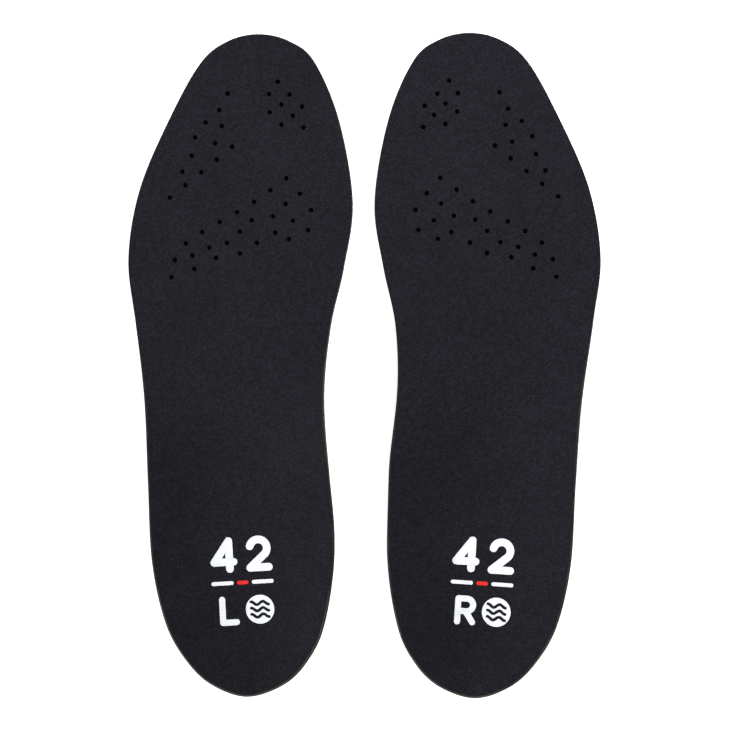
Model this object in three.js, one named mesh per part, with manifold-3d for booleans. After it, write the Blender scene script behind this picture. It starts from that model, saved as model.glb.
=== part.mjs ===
// A pair of cushioned insoles for an EU 42-43 work shoe, lying side by side, toes towards +Y.
// Each insole is a laminate: a knitted top cover over a moulded foam bed, which carries a
// thermoplastic support shell, a heel pad and a forefoot pad in recesses in its underside.
// Seven pieces of heat-transfer film lie on the heel of each cover. Units are millimetres, +Z is up.
//
// One insole is drawn in its own frame: u runs across it, medial side positive, v runs from the
// heel end to the toes, and z is the height over the floor. The right insole mirrors the left one.
import * as THREE from "three";
import { mergeVertices } from "three/addons/utils/BufferGeometryUtils.js";
import Module from "manifold-3d";

const wasm = await Module();
wasm.setup();

// ---- Driving dimensions -------------------------------------------------------------------------

// Outline of one insole as points [u, v] of a closed smooth curve, from the heel end up the
// lateral side, round the toes and back down the medial side.
const OUTLINE = [
  [0, 0], [-14.9, 5], [-25.4, 15], [-33.8, 30], [-39.5, 55], [-41.4, 88], [-43.6, 122],
  [-48.2, 156], [-51.1, 182], [-46.3, 210.5], [-34.2, 239], [-20.9, 263], [-9.3, 272.2], [3.6, 275],
  [16.3, 272], [26.6, 263.4], [36.9, 239], [42.6, 205], [39, 178], [33.8, 154], [32, 126],
  [34.9, 92], [36.3, 58], [32.2, 30], [25.3, 15], [15.3, 5],
];
const SAMPLES_PER_SPAN = 3;
const SPINE = { heelV: 40, toeV: 236, waistV: 150, waistU: -6 }; // centreline that the surfaces are built round
const RINGS = { shares: [0.16, 0.35, 0.54, 0.8, 1], inset: 4.5 }; // rings from the centreline out to the inset

const PAIR_SPACING = 94.6; // between the two heel ends
const GAP = 0.3; // between pieces that touch

// The heel cup: its walls rise from the floor outside, and a wider bowl rises inside.
const CUP = { rise: 13.5, width: 19, power: 2, fullTo: 62, goneAt: 155 };
const BOWL = { rise: 10, width: 30, power: 1.7 };
const ARCH = { rise: 13, fromV: 66, peakV: 104, toV: 172, lateralU: -6, medialU: 38 };

// Thickness of the foam along the middle: the heel seat, the waist, the forefoot and the toe tip.
const FOAM = { seat: 7.2, waist: 8.6, forefoot: 4.2, toe: 3 };
const SLOPES = { toWaist: [50, 105], toForefoot: [112, 170], toToe: [240, 285] };
const RIM = { bevel: 0.4, coverInset: 0.7, fullTo: 120, goneAt: 165 };
const COVER_THICKNESS = 0.9;

const SHELL = { thickness: 1.6, inset: 3.5 };
const SHELL_FRONT = [[-60, 112], [-38, 121], [-12, 131], [12, 145], [30, 153], [60, 157]];
const HEEL_PAD = { u: -1.5, v: 44, across: 20, along: 25, thickness: 3.4, turn: 0 };
const FOREFOOT_PAD = { u: -3, v: 193, across: 35, along: 15.5, thickness: 1.3, turn: 28 };
const PAD_SIDES = 28;

const VENT = { radius: 1, sides: 6, depthInFoam: 2.2 };
// Rows of vent holes: a curve through the points, and the number of holes spaced evenly along it.
const VENT_ROWS = [
  // under the big toe
  { holes: 3, along: [[11.6, 255.1], [16.6, 249.6], [21.7, 244.7]] },
  { holes: 4, along: [[7.9, 249.9], [15.3, 243.6], [22.3, 235.9]] },
  { holes: 2, along: [[8.2, 242.3], [13.1, 237.2]] },
  // under the small toes
  {
    holes: 6,
    along: [[-9.4, 250.2], [-12.7, 243.7], [-18.5, 238.4], [-22.8, 232.6], [-24.2, 225.2], [-28.4, 217.8]],
  },
  { holes: 2, along: [[-11.9, 236.7], [-14.6, 229.7]] },
  { holes: 5, along: [[-7.5, 228.1], [-19.6, 218.2], [-33.7, 207]] },
  // under the ball of the foot
  { holes: 8, along: [[-31.5, 181], [-25.4, 189.2], [-5.2, 201], [2, 205.3], [15.2, 214.9]] },
  { holes: 3, along: [[-24.1, 182.9], [-17.8, 185.9], [-9.7, 188.1]] },
  { holes: 2, along: [[-4.3, 192.8], [0.7, 197.5]] },
  { holes: 3, along: [[9.6, 199.1], [15.1, 204.4], [20.8, 208.5]] },
  { holes: 4, along: [[-33, 173.8], [-24.3, 176.8], [-14.8, 181.7], [-4.2, 183.7]] },
  { holes: 4, along: [[2.9, 188], [9.3, 191.5], [17.8, 197.2], [25.5, 201.6]] },
  { holes: 2, along: [[16.2, 189.6], [24.3, 193.3]] },
];

// Transfer print on the heel, drawn about its own centre: x across, y towards the toes. It holds
// the size in big digits, a divider of three bars, the letter of the side, and an icon.
const PRINT = { v: 46.5, thickness: 0.2, lift: 0.4 };
const PRINT_SIDES = {
  left: { x: -2.6, turn: 3.5 },
  right: { x: 2.4, turn: -3.5 },
};
const DIGITS = { y: 12.2, spread: 7.3, strokeRadius: 1.6 };
const DIVIDER = { y: 0.5, strokeRadius: 0.8, middle: 1.6, from: 4.6, to: 12.2 };
const SIDE_LETTER = { x: -6.4, y: -11, strokeRadius: 1.25 };
const CUSHION_ICON = { x: 6.6, y: -11, radius: 6, strokeRadius: 0.62 };
const WAVE = { reach: 3.7, height: 0.65, period: 4.9, steps: 8, rows: [2.6, 0, -2.6] };

// ---- Numbers ------------------------------------------------------------------------------------

// 0 up to `from`, 1 beyond `to`, and a smooth step between them.
function step(x, from, to) {
  const t = Math.min(1, Math.max(0, (x - from) / (to - from)));
  return t * t * (3 - 2 * t);
}

const curveThrough = (points, closed) =>
  new THREE.CatmullRomCurve3(
    points.map(([x, y]) => new THREE.Vector3(x, y, 0)),
    closed,
    "catmullrom",
    0.5,
  );

// ---- The form of one insole ---------------------------------------------------------------------

const outlineCurve = curveThrough(OUTLINE, true);
const outlinePoints = (perSpan) => outlineCurve.getPoints(OUTLINE.length * perSpan).slice(0, -1);
const edge = outlinePoints(SAMPLES_PER_SPAN);
const fineEdge = outlinePoints(12);

// Distance from a point to the outline.
function edgeDistance(u, v) {
  const point = new THREE.Vector3(u, v, 0);
  const nearest = new THREE.Vector3();
  const side = new THREE.Line3();
  let best = Infinity;
  fineEdge.forEach((start, i) => {
    side.set(start, fineEdge[(i + 1) % fineEdge.length]);
    side.closestPointToPoint(point, true, nearest);
    best = Math.min(best, nearest.distanceTo(point));
  });
  return best;
}

// A rise towards the outline, all round the heel and fading out in front of it.
function heelRise({ rise, width, power }, u, v) {
  const share = Math.max(0, 1 - edgeDistance(u, v) / width) ** power;
  return rise * share * (1 - step(v, CUP.fullTo, CUP.goneAt));
}

function archRise(u, v) {
  const along = step(v, ARCH.fromV, ARCH.peakV) * (1 - step(v, ARCH.peakV, ARCH.toV));
  return ARCH.rise * along * step(u, ARCH.lateralU, ARCH.medialU);
}

// Height of the insole's underside: 0 under the forefoot and the heel seat, raised round the heel
// cup and under the medial arch.
const undersideHeight = (u, v) => heelRise(CUP, u, v) + archRise(u, v);

function foamThickness(v) {
  const { seat, waist, forefoot, toe } = FOAM;
  const rise = (waist - seat) * step(v, ...SLOPES.toWaist);
  const fall = (forefoot - waist) * step(v, ...SLOPES.toForefoot);
  return seat + rise + fall + (toe - forefoot) * step(v, ...SLOPES.toToe);
}

const foamTopHeight = (u, v) => foamThickness(v) + heelRise(BOWL, u, v) + archRise(u, v);

// 1 round the heel, where the rim is skived, and 0 round the forefoot, where it is cut square.
const rimShare = (v) => 1 - step(v, RIM.fullTo, RIM.goneAt);

const coverTopHeight = (u, v) => foamTopHeight(u, v) + GAP + COVER_THICKNESS;

// Point i of the outline, moved in by a distance.
function insetPoint(i, distance) {
  const before = edge[(i + edge.length - 1) % edge.length];
  const after = edge[(i + 1) % edge.length];
  const inward = new THREE.Vector3(after.y - before.y, before.x - after.x, 0).normalize();
  return edge[i].clone().addScaledVector(inward, distance);
}

// The point of the centreline that an edge point's line of vertices runs to.
function spinePoint(point) {
  const v = Math.min(SPINE.toeV, Math.max(SPINE.heelV, point.y));
  const fromWaist = (v - SPINE.waistV) / (SPINE.toeV - SPINE.waistV);
  const u = SPINE.waistU * Math.max(0, 1 - fromWaist ** 2);
  return new THREE.Vector3(u, v, 0);
}

// ---- Solids -------------------------------------------------------------------------------------

// Rings of vertices over the insole at the height that heightAt gives. All layers share the plan
// of every ring but the last, which is the layer's own rim.
function surfaceRings(insetAt, heightAt) {
  const placed = RINGS.shares.map((share) =>
    edge.map((_, i) => {
      const outer = insetPoint(i, RINGS.inset);
      return spinePoint(outer).lerp(outer, share);
    }),
  );
  const rim = edge.map((point, i) => insetPoint(i, insetAt(point.y)));
  return [...placed, rim].map((ring) => ring.map(({ x, y }) => [x, y, heightAt(x, y)]));
}

// A closed layer between two heights. Each of its two faces has its own inset from the outline.
function layerGeometry(bottom, top) {
  const faces = [bottom, top].map((face) => surfaceRings(face.inset, face.height));
  const positions = faces.flat(2);
  const count = edge.length;
  const last = RINGS.shares.length;
  const vertex = (face, ring, i) => (face * (last + 1) + ring) * count + (i % count);
  const indices = [];
  const triangle = (a, b, c) => new Set([a, b, c]).size === 3 && indices.push(a, b, c);
  const quad = (a, b, c, d) => [triangle(a, b, c), triangle(a, c, d)];
  for (let i = 0; i < count; i++) {
    for (let ring = 0; ring < last; ring++) {
      const corner = (face, out, on) => vertex(face, ring + out, i + on);
      quad(corner(0, 0, 0), corner(0, 1, 0), corner(0, 1, 1), corner(0, 0, 1));
      quad(corner(1, 0, 0), corner(1, 0, 1), corner(1, 1, 1), corner(1, 1, 0));
    }
    quad(vertex(0, last, i), vertex(1, last, i), vertex(1, last, i + 1), vertex(0, last, i + 1));
  }
  // The innermost ring is closed by rungs from each vertex to the one across from it.
  for (let i = 0; i < count / 2; i++) {
    const [a, b, c, d] = [i, i + 1, count - i - 1, count - i];
    quad(...[a, b, c, d].map((j) => vertex(0, 0, j)));
    quad(...[a, d, c, b].map((j) => vertex(1, 0, j)));
  }
  const geometry = new THREE.BufferGeometry();
  geometry.setAttribute("position", new THREE.Float32BufferAttribute(positions.flat(), 3));
  geometry.setIndex(indices);
  return geometry;
}

// A manifold-3d solid from a closed geometry, turned to face outwards.
function solidOf(geometry) {
  const bare = geometry.clone();
  bare.deleteAttribute("normal");
  bare.deleteAttribute("uv");
  const merged = mergeVertices(bare, 1e-4);
  const triVerts = new Uint32Array(merged.index.array);
  const build = () =>
    new wasm.Manifold(
      new wasm.Mesh({ numProp: 3, vertProperties: merged.attributes.position.array, triVerts }),
    );
  const solid = build();
  if (solid.volume() > 0) return solid;
  for (let i = 0; i < triVerts.length; i += 3) {
    [triVerts[i + 1], triVerts[i + 2]] = [triVerts[i + 2], triVerts[i + 1]];
  }
  return build();
}

const layer = (bottom, top) => solidOf(layerGeometry(bottom, top));

function geometryOf(solid) {
  const mesh = solid.getMesh();
  const geometry = new THREE.BufferGeometry();
  geometry.setAttribute("position", new THREE.BufferAttribute(mesh.vertProperties, 3));
  geometry.setIndex(new THREE.BufferAttribute(mesh.triVerts, 1));
  return geometry.toNonIndexed();
}

// An upright prism over a flat shape.
function prism(shape, fromZ, toZ, curveSegments = 4) {
  const settings = { depth: toZ - fromZ, bevelEnabled: false, curveSegments };
  return new THREE.ExtrudeGeometry(shape, settings).translate(0, 0, fromZ);
}

// ---- Support shell ------------------------------------------------------------------------------

const TALL = { from: -20, to: 60 }; // heights well clear of the insole
const BEHIND_HEEL = -20; // a v well clear of the heel end
const CLEAR_BELOW = 5; // how far a recess reaches below the underside

// Everything behind the shell's front edge, which runs further forward under the medial arch.
function behindShellFront(forward) {
  const front = curveThrough(SHELL_FRONT, false).getPoints(14);
  const outline = front.map((p) => new THREE.Vector2(p.x, p.y + forward));
  const behind = [new THREE.Vector2(front.at(-1).x, BEHIND_HEEL), new THREE.Vector2(front[0].x, BEHIND_HEEL)];
  return solidOf(prism(new THREE.Shape([...outline, ...behind]), TALL.from, TALL.to));
}

function shellSolid() {
  const inset = () => SHELL.inset;
  const sheet = layer(
    { inset, height: undersideHeight },
    { inset, height: (u, v) => undersideHeight(u, v) + SHELL.thickness },
  );
  return sheet.intersect(behindShellFront(0)).subtract(padPrism(HEEL_PAD, GAP));
}

// The space that the shell and the gap round it take out of the foam.
function shellRecess() {
  const inset = () => SHELL.inset - GAP;
  const space = layer(
    { inset, height: (u, v) => undersideHeight(u, v) - CLEAR_BELOW },
    { inset, height: (u, v) => undersideHeight(u, v) + SHELL.thickness + GAP },
  );
  return space.intersect(behindShellFront(GAP));
}

// ---- Pads ---------------------------------------------------------------------------------------

function padPrism(pad, clearance, fromZ = TALL.from, toZ = TALL.to) {
  const shape = new THREE.Shape();
  const turn = THREE.MathUtils.degToRad(pad.turn);
  shape.absellipse(pad.u, pad.v, pad.across + clearance, pad.along + clearance, 0, 2 * Math.PI, false, turn);
  const rim = shape.getSpacedPoints(PAD_SIDES).slice(0, -1);
  return solidOf(prism(new THREE.Shape(rim), fromZ, toZ));
}

// The heel pad follows the underside of the cup. Its lower face sits just inside the shell.
function heelPadSolid() {
  const inset = () => SHELL.inset;
  const slab = layer(
    { inset, height: (u, v) => undersideHeight(u, v) + GAP },
    { inset, height: (u, v) => undersideHeight(u, v) + GAP + HEEL_PAD.thickness },
  );
  return slab.intersect(padPrism(HEEL_PAD, 0));
}

function heelPadRecess() {
  const inset = () => SHELL.inset;
  const space = layer(
    { inset, height: (u, v) => undersideHeight(u, v) - CLEAR_BELOW },
    { inset, height: (u, v) => undersideHeight(u, v) + HEEL_PAD.thickness + 2 * GAP },
  );
  return space.intersect(padPrism(HEEL_PAD, GAP));
}

const forefootPadSolid = () => padPrism(FOREFOOT_PAD, 0, 0, FOREFOOT_PAD.thickness);
const forefootPadRecess = () => padPrism(FOREFOOT_PAD, GAP, TALL.from, FOREFOOT_PAD.thickness + GAP);

// ---- Foam bed and top cover ---------------------------------------------------------------------

const ventCentres = VENT_ROWS.flatMap((row) =>
  curveThrough(row.along, false).getSpacedPoints(row.holes - 1),
);

// All the vent holes as one solid, from a height given at each hole up through the top.
function ventHoles(bottomAt) {
  const punches = ventCentres.map(({ x, y }) => {
    const bottom = bottomAt(x, y);
    const punch = new THREE.CylinderGeometry(VENT.radius, VENT.radius, TALL.to - bottom, VENT.sides);
    punch.rotateX(Math.PI / 2).translate(x, y, (TALL.to + bottom) / 2);
    return solidOf(punch);
  });
  return wasm.Manifold.union(punches);
}

function foamSolid() {
  const block = layer(
    { inset: () => 0, height: undersideHeight },
    { inset: (v) => RIM.bevel * rimShare(v), height: foamTopHeight },
  );
  return block
    .subtract(shellRecess())
    .subtract(heelPadRecess())
    .subtract(forefootPadRecess())
    .subtract(ventHoles((u, v) => foamTopHeight(u, v) - VENT.depthInFoam));
}

function coverSolid() {
  const inset = (v) => RIM.coverInset * rimShare(v);
  const sheet = layer(
    { inset, height: (u, v) => foamTopHeight(u, v) + GAP },
    { inset, height: coverTopHeight },
  );
  return sheet.subtract(ventHoles(() => TALL.from));
}

// ---- Transfer print -----------------------------------------------------------------------------

// The closed outline of a pen stroke with round ends along a line of points.
function strokeOutline(points, radius) {
  const path = points.map(([x, y]) => new THREE.Vector2(x, y));
  const heading = (a, b) => Math.atan2(b.y - a.y, b.x - a.x);
  const headings = path.slice(1).map((point, i) => heading(path[i], point));
  const at = (point, angle, reach) =>
    new THREE.Vector2(point.x + reach * Math.cos(angle), point.y + reach * Math.sin(angle));
  const side = (sign) =>
    path.slice(1, -1).map((point, i) => {
      const bend = headings[i + 1] - headings[i];
      const half = Math.atan2(Math.sin(bend), Math.cos(bend)) / 2;
      return at(point, headings[i] + half + (sign * Math.PI) / 2, radius / Math.cos(half));
    });
  const cap = (point, angle) =>
    [-90, -45, 0, 45, 90].map((turn) => at(point, angle + THREE.MathUtils.degToRad(turn), radius));
  return [
    ...cap(path.at(-1), headings.at(-1)),
    ...side(1).reverse(),
    ...cap(path[0], headings[0] + Math.PI),
    ...side(-1),
  ];
}

function arcPoints(x, y, radius, fromDeg, toDeg, steps) {
  return Array.from({ length: steps + 1 }, (_, i) => {
    const angle = THREE.MathUtils.degToRad(fromDeg + ((toDeg - fromDeg) * i) / steps);
    return [x + radius * Math.cos(angle), y + radius * Math.sin(angle)];
  });
}

// The pen strokes of each character, about its centre.
const STROKES = {
  four: [[[2.3, 5.8], [-4, -2.9]], [[-4, -2.9], [4, -2.9]], [[2.3, 5.8], [2.3, -5.8]]],
  two: [[...arcPoints(0, 2.2, 3.6, 165, -40, 8), [-3.8, -5.8]], [[-3.8, -5.8], [4, -5.8]]],
  left: [[[-2.6, 4.8], [-2.6, -4.8]], [[-2.6, -4.8], [3, -4.8]]],
  right: [
    [[-3, 4.8], [-3, -4.8]],
    [[-3, 4.8], ...arcPoints(0.6, 2.2, 2.6, 90, -90, 6), [-3, -0.4]],
    [[0.2, -0.4], [3.2, -4.8]],
  ],
};

// A mark of film made of pen strokes, moved to (x, y).
function penMark(strokes, x, y, radius) {
  const films = strokes.map((stroke) => {
    const moved = stroke.map(([px, py]) => [px + x, py + y]);
    return solidOf(prism(new THREE.Shape(strokeOutline(moved, radius)), 0, PRINT.thickness));
  });
  return wasm.Manifold.union(films);
}

const digit = (strokes, x) => penMark(strokes, x, DIGITS.y, DIGITS.strokeRadius);

const bar = (from, to) => penMark([[[from, 0], [to, 0]]], 0, DIVIDER.y, DIVIDER.strokeRadius);

// A disc with waves cut out of it, for the cushioned layers.
function cushionIcon() {
  const { x, y, radius, strokeRadius } = CUSHION_ICON;
  const shape = new THREE.Shape();
  shape.absarc(x, y, radius, 0, 2 * Math.PI);
  const disc = new THREE.Shape(shape.getSpacedPoints(24).slice(0, -1));
  const across = Array.from({ length: WAVE.steps + 1 }, (_, i) => WAVE.reach * ((2 * i) / WAVE.steps - 1));
  const swing = (along) => WAVE.height * Math.sin((2 * Math.PI * along) / WAVE.period);
  WAVE.rows.forEach((up) => {
    const wave = across.map((along) => [x + along, y + up + swing(along)]);
    disc.holes.push(new THREE.Path(strokeOutline(wave, strokeRadius)));
  });
  return solidOf(prism(disc, 0, PRINT.thickness));
}

// ---- Assembly -----------------------------------------------------------------------------------

const MATERIALS = {
  cover: new THREE.MeshStandardMaterial({ color: 0x26252b, roughness: 0.95 }),
  foam: new THREE.MeshStandardMaterial({ color: 0x1d1c1d, roughness: 0.9 }),
  shell: new THREE.MeshStandardMaterial({ color: 0x2d2f33, roughness: 0.45 }),
  pad: new THREE.MeshStandardMaterial({ color: 0x6f7378, roughness: 0.6 }),
  printWhite: new THREE.MeshStandardMaterial({ color: 0xeff0f2, roughness: 0.6 }),
  printRed: new THREE.MeshStandardMaterial({ color: 0xe0231f, roughness: 0.6 }),
};

function addMesh(group, name, geometry, material) {
  const mesh = new THREE.Mesh(geometry, material);
  mesh.name = name;
  geometry.computeVertexNormals();
  group.add(mesh);
}

const cushionPieces = [
  ["top_cover", geometryOf(coverSolid()), MATERIALS.cover],
  ["foam_bed", geometryOf(foamSolid()), MATERIALS.foam],
  ["support_shell", geometryOf(shellSolid()), MATERIALS.shell],
  ["heel_pad", geometryOf(heelPadSolid()), MATERIALS.pad],
  ["forefoot_pad", geometryOf(forefootPadSolid()), MATERIALS.pad],
];

// Turns a film to its place on an insole and lays it on the cover as a flat piece: it is tilted
// like the surface under its centre, and lifted until all of it is clear.
function lay(film, side) {
  const { x: middle, turn } = PRINT_SIDES[side];
  const medial = side === "left" ? 1 : -1;
  const laid = film.rotateZ(THREE.MathUtils.degToRad(turn)).translate(middle, PRINT.v, 0);
  laid.computeBoundingBox();
  const centre = laid.boundingBox.getCenter(new THREE.Vector3());
  const surface = (x, y) => coverTopHeight(medial * x, y);
  const slopeX = surface(centre.x + 1, centre.y) - surface(centre.x, centre.y);
  const slopeY = surface(centre.x, centre.y + 1) - surface(centre.x, centre.y);
  const tilted = (x, y) => slopeX * (x - centre.x) + slopeY * (y - centre.y);
  const place = laid.attributes.position;
  const corners = Array.from({ length: place.count }, (_, i) => [place.getX(i), place.getY(i)]);
  const clear = Math.max(...corners.map(([x, y]) => surface(x, y) - tilted(x, y)));
  corners.forEach(([x, y], i) => {
    place.setZ(i, place.getZ(i) + tilted(x, y) + clear + PRINT.lift);
  });
  return laid;
}

// The print keeps its reading direction, so it is laid on each insole and never mirrored.
function printGroup(side) {
  const group = new THREE.Group();
  const { printWhite, printRed } = MATERIALS;
  const { x: letterX, y: letterY, strokeRadius } = SIDE_LETTER;
  const pieces = [
    ["digit_four", digit(STROKES.four, -DIGITS.spread), printWhite],
    ["digit_two", digit(STROKES.two, DIGITS.spread), printWhite],
    ["left_bar", bar(-DIVIDER.to, -DIVIDER.from), printWhite],
    ["middle_bar", bar(-DIVIDER.middle, DIVIDER.middle), printRed],
    ["right_bar", bar(DIVIDER.from, DIVIDER.to), printWhite],
    ["side_letter", penMark(STROKES[side], letterX, letterY, strokeRadius), printWhite],
    ["cushion_icon", cushionIcon(), printWhite],
  ];
  pieces.forEach(([name, solid, material]) => {
    addMesh(group, `${side}_print_${name}`, lay(geometryOf(solid), side), material);
  });
  return group;
}

function insole(side) {
  const group = new THREE.Group();
  const outward = side === "left" ? -1 : 1;
  const laminate = new THREE.Group();
  laminate.scale.x = -outward;
  cushionPieces.forEach(([name, geometry, material]) => {
    addMesh(laminate, `${side}_${name}`, geometry, material);
  });
  group.add(laminate, printGroup(side));
  const lengths = edge.map((point) => point.y);
  const middleV = (Math.min(...lengths) + Math.max(...lengths)) / 2;
  group.position.set((outward * PAIR_SPACING) / 2, -middleV, 0);
  return group;
}

const insolePair = new THREE.Group();
insolePair.add(insole("left"), insole("right"));

export default insolePair;
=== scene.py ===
import math

import bpy
import numpy as np
from mathutils import Matrix, Vector
from mathutils.geometry import delaunay_2d_cdt


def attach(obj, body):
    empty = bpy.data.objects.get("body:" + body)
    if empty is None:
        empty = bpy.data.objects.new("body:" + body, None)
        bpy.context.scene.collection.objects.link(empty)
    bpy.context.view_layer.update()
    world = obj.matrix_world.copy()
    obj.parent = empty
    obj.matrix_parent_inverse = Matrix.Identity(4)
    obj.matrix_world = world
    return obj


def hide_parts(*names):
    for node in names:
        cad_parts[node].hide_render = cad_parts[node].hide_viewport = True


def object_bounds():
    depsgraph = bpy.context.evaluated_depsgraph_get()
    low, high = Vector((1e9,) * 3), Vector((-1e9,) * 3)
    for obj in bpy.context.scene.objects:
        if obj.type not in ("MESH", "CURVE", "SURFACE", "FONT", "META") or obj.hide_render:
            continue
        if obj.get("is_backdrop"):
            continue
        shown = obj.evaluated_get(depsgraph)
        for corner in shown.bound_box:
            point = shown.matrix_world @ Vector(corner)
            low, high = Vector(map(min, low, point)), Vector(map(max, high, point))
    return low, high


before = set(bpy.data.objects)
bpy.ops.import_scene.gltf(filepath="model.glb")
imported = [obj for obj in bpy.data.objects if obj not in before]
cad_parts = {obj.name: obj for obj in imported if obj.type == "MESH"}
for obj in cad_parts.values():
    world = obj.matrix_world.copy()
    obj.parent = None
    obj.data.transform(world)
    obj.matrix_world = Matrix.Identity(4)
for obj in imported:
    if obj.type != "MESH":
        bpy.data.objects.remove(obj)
cad_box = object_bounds()

# ---- Driving dimensions, the same as in the CAD, in millimetres and degrees ----------------------

MM = 0.001
OUTLINE = [
    (0, 0), (-14.9, 5), (-25.4, 15), (-33.8, 30), (-39.5, 55), (-41.4, 88), (-43.6, 122),
    (-48.2, 156), (-51.1, 182), (-46.3, 210.5), (-34.2, 239), (-20.9, 263), (-9.3, 272.2),
    (3.6, 275), (16.3, 272), (26.6, 263.4), (36.9, 239), (42.6, 205), (39, 178), (33.8, 154),
    (32, 126), (34.9, 92), (36.3, 58), (32.2, 30), (25.3, 15), (15.3, 5),
]
PAIR_SPACING = 94.6
LENGTH = 275.0
GAP = 0.3
CUP = {"rise": 13.5, "width": 19, "power": 2, "full_to": 62, "gone_at": 155}
BOWL = {"rise": 10, "width": 30, "power": 1.7}
ARCH = {"rise": 13, "from": 66, "peak": 104, "to": 172, "lateral": -6, "medial": 38}
FOAM = {"seat": 7.2, "waist": 8.6, "forefoot": 4.2, "toe": 3.0}
SLOPES = {"to_waist": (50, 105), "to_forefoot": (112, 170), "to_toe": (240, 285)}
RIM = {"full_to": 120, "gone_at": 165}
COVER_THICKNESS = 0.9
SHELL = {"thickness": 1.6, "inset": 3.5}
SHELL_FRONT = [(-60, 112), (-38, 121), (-12, 131), (12, 145), (30, 153), (60, 157)]
HEEL_PAD = {"u": -1.5, "v": 44, "across": 20, "along": 25, "thickness": 3.4, "turn": 0}
FOREFOOT_PAD = {"u": -3, "v": 193, "across": 35, "along": 15.5, "thickness": 1.3, "turn": 28}
VENT = {"radius": 1.0, "sides": 18, "depth_in_foam": 2.2}
VENT_ROWS = [  # how many holes, and the curve that they are spaced along
    (3, [(11.6, 255.1), (16.6, 249.6), (21.7, 244.7)]),
    (4, [(7.9, 249.9), (15.3, 243.6), (22.3, 235.9)]),
    (2, [(8.2, 242.3), (13.1, 237.2)]),
    (
        6,
        [
            (-9.4, 250.2), (-12.7, 243.7), (-18.5, 238.4),
            (-22.8, 232.6), (-24.2, 225.2), (-28.4, 217.8),
        ],
    ),
    (2, [(-11.9, 236.7), (-14.6, 229.7)]),
    (5, [(-7.5, 228.1), (-19.6, 218.2), (-33.7, 207)]),
    (8, [(-31.5, 181), (-25.4, 189.2), (-5.2, 201), (2, 205.3), (15.2, 214.9)]),
    (3, [(-24.1, 182.9), (-17.8, 185.9), (-9.7, 188.1)]),
    (2, [(-4.3, 192.8), (0.7, 197.5)]),
    (3, [(9.6, 199.1), (15.1, 204.4), (20.8, 208.5)]),
    (4, [(-33, 173.8), (-24.3, 176.8), (-14.8, 181.7), (-4.2, 183.7)]),
    (4, [(2.9, 188), (9.3, 191.5), (17.8, 197.2), (25.5, 201.6)]),
    (2, [(16.2, 189.6), (24.3, 193.3)]),
]
PRINT_V = 46.5
PRINT_SIDES = {"left": {"x": -2.6, "turn": 3.5}, "right": {"x": 2.4, "turn": -3.5}}
DIGITS = {"y": 12.2, "spread": 7.3, "stroke": 1.6}
DIVIDER = {"y": 0.5, "stroke": 0.8, "middle": 1.6, "from": 4.6, "to": 12.2}
SIDE_LETTER = {"x": -6.4, "y": -11, "stroke": 1.25}
CUSHION_ICON = {"x": 6.6, "y": -11, "radius": 6, "stroke": 0.62}
WAVE = {"reach": 3.7, "height": 0.65, "period": 4.9, "rows": (2.6, 0, -2.6)}

# ---- Dimensions of the looks only ----------------------------------------------------------------

EDGE_SPACING = 1.5  # between the points of the outline
CURVE_STEPS = 24  # in each span of a spline
VENT_ROW_STEPS = 16
POINTS_AT_ONCE = 1500  # in the tests against a loop
CORNER_TURNS = (30, 60, 90)  # degrees round a rounded corner
MESH_INSET = 4  # from the rim to the part that is filled with triangles
MESH_SPACING = {
    "cover": 2.2,
    "foam_top": 4.0,
    "foam_under": 3.0,
    "shell": 1.6,
    "pad_top": 3.0,
    "pad_under": 2.6,
    "film": 1.2,
}
COVER_EDGE = {"inset": 0.8, "slant": 0.5, "round": 0.3}  # cut edge of the cover round the heel
COVER_ROWS = {"top": (2.8, 1.8, 1.0), "cut": (0.15, 1.0)}  # distances in, and shares of the cut
COVER_SLOTS = {"knit": 0, "cut": 1}
VENT_RINGS = [  # how far out from the hole, and how far down
    (0.55, 0.0),
    (0.22, 0.03),
    (0.06, 0.12),
    (0.0, 0.3),
    (0.0, COVER_THICKNESS),
]
FOAM_VENT_MARGIN = 0.3
FOAM_EDGE = {  # skived edge of the foam outside the cover, and the corner under its wall
    "inset": 0.3,
    "drop": 0.5,
    "curve": 1.6,
    "lip": 0.25,
    "lip_from": 0.6,
    "round": 0.5,
    "under": 1.2,
}
FOAM_ROWS = {  # distances in from the skive, shares of the skive and shares of the wall
    "top": (2.5, 1.2, 0.5, 0.0),
    "skive": (0.35, 0.7, 0.9, 1.0),
    "wall": (0.3, 0.6, 0.85),
}
UNDERSIDE_INSET = 2.0
RECESS_WALL = 0.15  # how much narrower a recess is at its end than at its mouth
SHELL_OUTLINE = {"spacing": 1.3, "clear": 1, "softened": 6}  # softened: times it is averaged
SHELL_ROUND = 0.4
MEDIAL_FROM = 20  # u beyond which the outline is the medial edge
GROOVES = {  # along the arch, each a step shorter at both ends than the one before it
    "count": 5,
    "depth": 0.55,
    "width": 1.5,
    "flat": 0.35,
    "pitch": 6.4,
    "from_medial": 11,
    "start": 76,
    "end": 136,
    "start_step": 2.5,
    "end_step": 4.5,
    "run_out": 5,
}
PAD_ROUND = 0.35
POCKETS = {  # hexagons in the underside of each pad
    "heel": {"pitch": 6.2, "radius": 2.9, "depth": 1.2},
    "forefoot": {"pitch": 5.0, "radius": 2.3, "depth": 0.7},
}
POCKET_MARGIN = 1.2  # between the pockets and the rim of the pad
POCKET_GRID = {"behind": 6, "aside": 9}  # pitches from the middle of the pad
POCKET_WALL = ((0.92, 0.25), (0.82, 0.85), (0.6, 1.0))  # shares of the width and of the depth
FILM_THICKNESS = 0.12
ICON_SIDES = 72
WAVE_POINTS = 25
DIAMONDS = {"pitch": 4.2, "groove": 0.8, "depth": 0.3}  # pressed into the underside of the foam
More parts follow.
